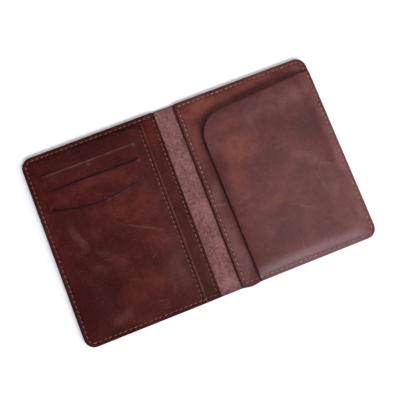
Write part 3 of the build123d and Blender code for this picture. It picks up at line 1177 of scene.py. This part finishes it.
def top_of(upper_line, upper_base, upper_thick, lower_base):
    """The height of the topmost leather at a point: of the upper sheet where it reaches, else the lower."""

    def height(x, y):
        spot = np.array([[x, y]])
        one, other = np.array([x]), np.array([y])
        if inside(spot, upper_line)[0]:
            return upper_base(one, other)[0] + upper_thick - VALLEY
        return lower_base(one, other)[0] + PANEL_THICK - VALLEY

    return height


def outside_height(x, y):
    """Where the outside thread's middle lies in its groove."""
    return GROOVE + THREAD_IN


left_top = top_of(card_line, card_base, CARD_THICK, left_panel_base)
right_top = top_of(pocket_line, pocket_base, POCKET_THICK, right_panel_base)
for node_name, path, height, outside, body in (
    ("perimeter_stitching_left", left_seam, left_top, outside_height, "card_half"),
    ("perimeter_stitching_right", right_seam, right_top, outside_height, "passport_half"),
    ("spine_edge_stitching_left", left_row, left_top, None, "card_half"),
    ("spine_edge_stitching_right", right_row, right_top, None, "passport_half"),
    ("card_panel_stitching", card_row, left_top, None, "card_half"),
):
    row = stitches(node_name + "_thread", path, height, outside)
    # The right half's rows get the lit copy of the thread, the left half's the shaded copy
    colour = thread_painted_lit if body == "passport_half" else thread_painted_shaded
    dress(row, (colour,), body, (node_name,))


# ---------------- floor, light and camera
INNER_R, FLOOR_R, WALL_R, WALL_TOP = 0.6, 2.4, 3.4, 1.6  # metres
WALL_GLOW, GLOW_FROM, GLOW_TO = 0.42, -0.02, 0.28  # how strongly, and between which heights in metres
SWEEP_STEPS, ROUND_STEPS = 24, 96


def studio():
    """The pale floor, which sweeps up into a low round wall far from the object."""
    bend = WALL_R - FLOOR_R
    turns = [math.pi / 2 * i / SWEEP_STEPS for i in range(SWEEP_STEPS + 1)]
    profile = [(INNER_R, 0.0), (FLOOR_R, 0.0)]
    profile += [(FLOOR_R + bend * math.sin(t), bend * (1 - math.cos(t))) for t in turns[1:]]
    profile.append((WALL_R, WALL_TOP))
    around = [2 * math.pi * k / ROUND_STEPS for k in range(ROUND_STEPS)]
    points, faces = [(0.0, 0.0, 0.0)], []
    points += [(radius * math.cos(a), radius * math.sin(a), z) for radius, z in profile for a in around]
    for k in range(ROUND_STEPS):
        beside = (k + 1) % ROUND_STEPS
        faces.append((0, 1 + k, 1 + beside))
        for ring in range(len(profile) - 1):
            inner, outer = 1 + ring * ROUND_STEPS, 1 + (ring + 1) * ROUND_STEPS
            faces.append((inner + k, outer + k, outer + beside, inner + beside))
    made = new_piece("floor", points, faces)
    material, place = start_material("pale_floor")
    cloud = noise(place, 6.0, 3.0)
    colour = ramp(cloud, ((0.3, (0.92, 0.908, 0.885)), (0.7, (0.94, 0.928, 0.905))))
    shader = finish_material(colour, 0.8, cloud, 0.00001, Specular_IOR_Level=0.1)
    height = node(place, "SeparateXYZ", {"Vector": place}).outputs["Z"]
    shader.inputs["Emission Color"].default_value = (1.0, 1.0, 1.0, 1.0)
    feed(ranged(height, GLOW_FROM, GLOW_TO, 0.0, WALL_GLOW), shader.inputs["Emission Strength"])
    made.data.materials.append(material)
    made.visible_shadow = False  # the wall doesn't keep the window's light off the floor


def sun(name, place, strength, degrees, colour):
    """A soft distant light that shines from a direction, so that the floor is evenly lit."""
    data = bpy.data.lights.new(name, "SUN")
    data.energy, data.angle, data.color = strength, math.radians(degrees), colour
    placed(name, data).rotation_euler = Vector(place).to_track_quat("Z", "Y").to_euler()


def lamp(name, place, target, size, watts, colour):
    """A square soft light at a place, facing a target; both in millimetres."""
    data = bpy.data.lights.new(name, "AREA")
    data.shape, data.size, data.energy, data.color = "SQUARE", size, watts, colour
    made = placed(name, data)
    made.location = Vector(place) * MM
    made.rotation_euler = (Vector(target) - Vector(place)).to_track_quat("-Z", "Y").to_euler()


studio()
sun("window", (150, -930, 870), 2.05, 19.0, (0.93, 0.94, 1.03))
lamp("low_window", (360, -1000, 610), (70, -66, 0), 0.5, 4.2, (0.86, 0.88, 1.0))
lamp("sky", (640, -640, 720), (60, 0, 0), 0.5, 3.0, (0.84, 0.87, 1.0))
lamp("overhead", (280, -50, 900), (60, 0, 0), 0.45, 2.55, (0.93, 0.94, 1.0))
lamp("side", (1200, -60, 560), (60, 0, 0), 0.6, 2.1, (1.0, 1.0, 1.0))

WORLD_LIGHT = 0.11
world = bpy.data.worlds.new("studio")
world.use_nodes = True
sky = world.node_tree.nodes["Background"].inputs
sky["Color"].default_value = (1.0, 1.0, 1.0, 1.0)
sky["Strength"].default_value = WORLD_LIGHT
bpy.context.scene.world = world
bpy.context.scene.view_settings.view_transform = "Standard"

CAMERA_PLACE = Vector((-29.8, -44.7, 416.4)) * MM
CAMERA_TARGET = Vector((0.3, -1.5, 2.5)) * MM
CAMERA_TURN = math.radians(21.46)  # how far the picture's upright leans from the holder's +Y to +X
LENS_MM = 54.0

camera_data = bpy.data.cameras.new("camera")
camera_data.lens = LENS_MM
camera_data.clip_start, camera_data.clip_end = 0.01, 20.0
camera = placed("camera", camera_data)
back = (CAMERA_PLACE - CAMERA_TARGET).normalized()
upright = Vector((math.sin(CAMERA_TURN), math.cos(CAMERA_TURN), 0))
across = upright.cross(back).normalized()
turn = Matrix((across, back.cross(across), back)).transposed().to_4x4()
camera.matrix_world = Matrix.Translation(CAMERA_PLACE) @ turn
bpy.context.scene.camera = camera
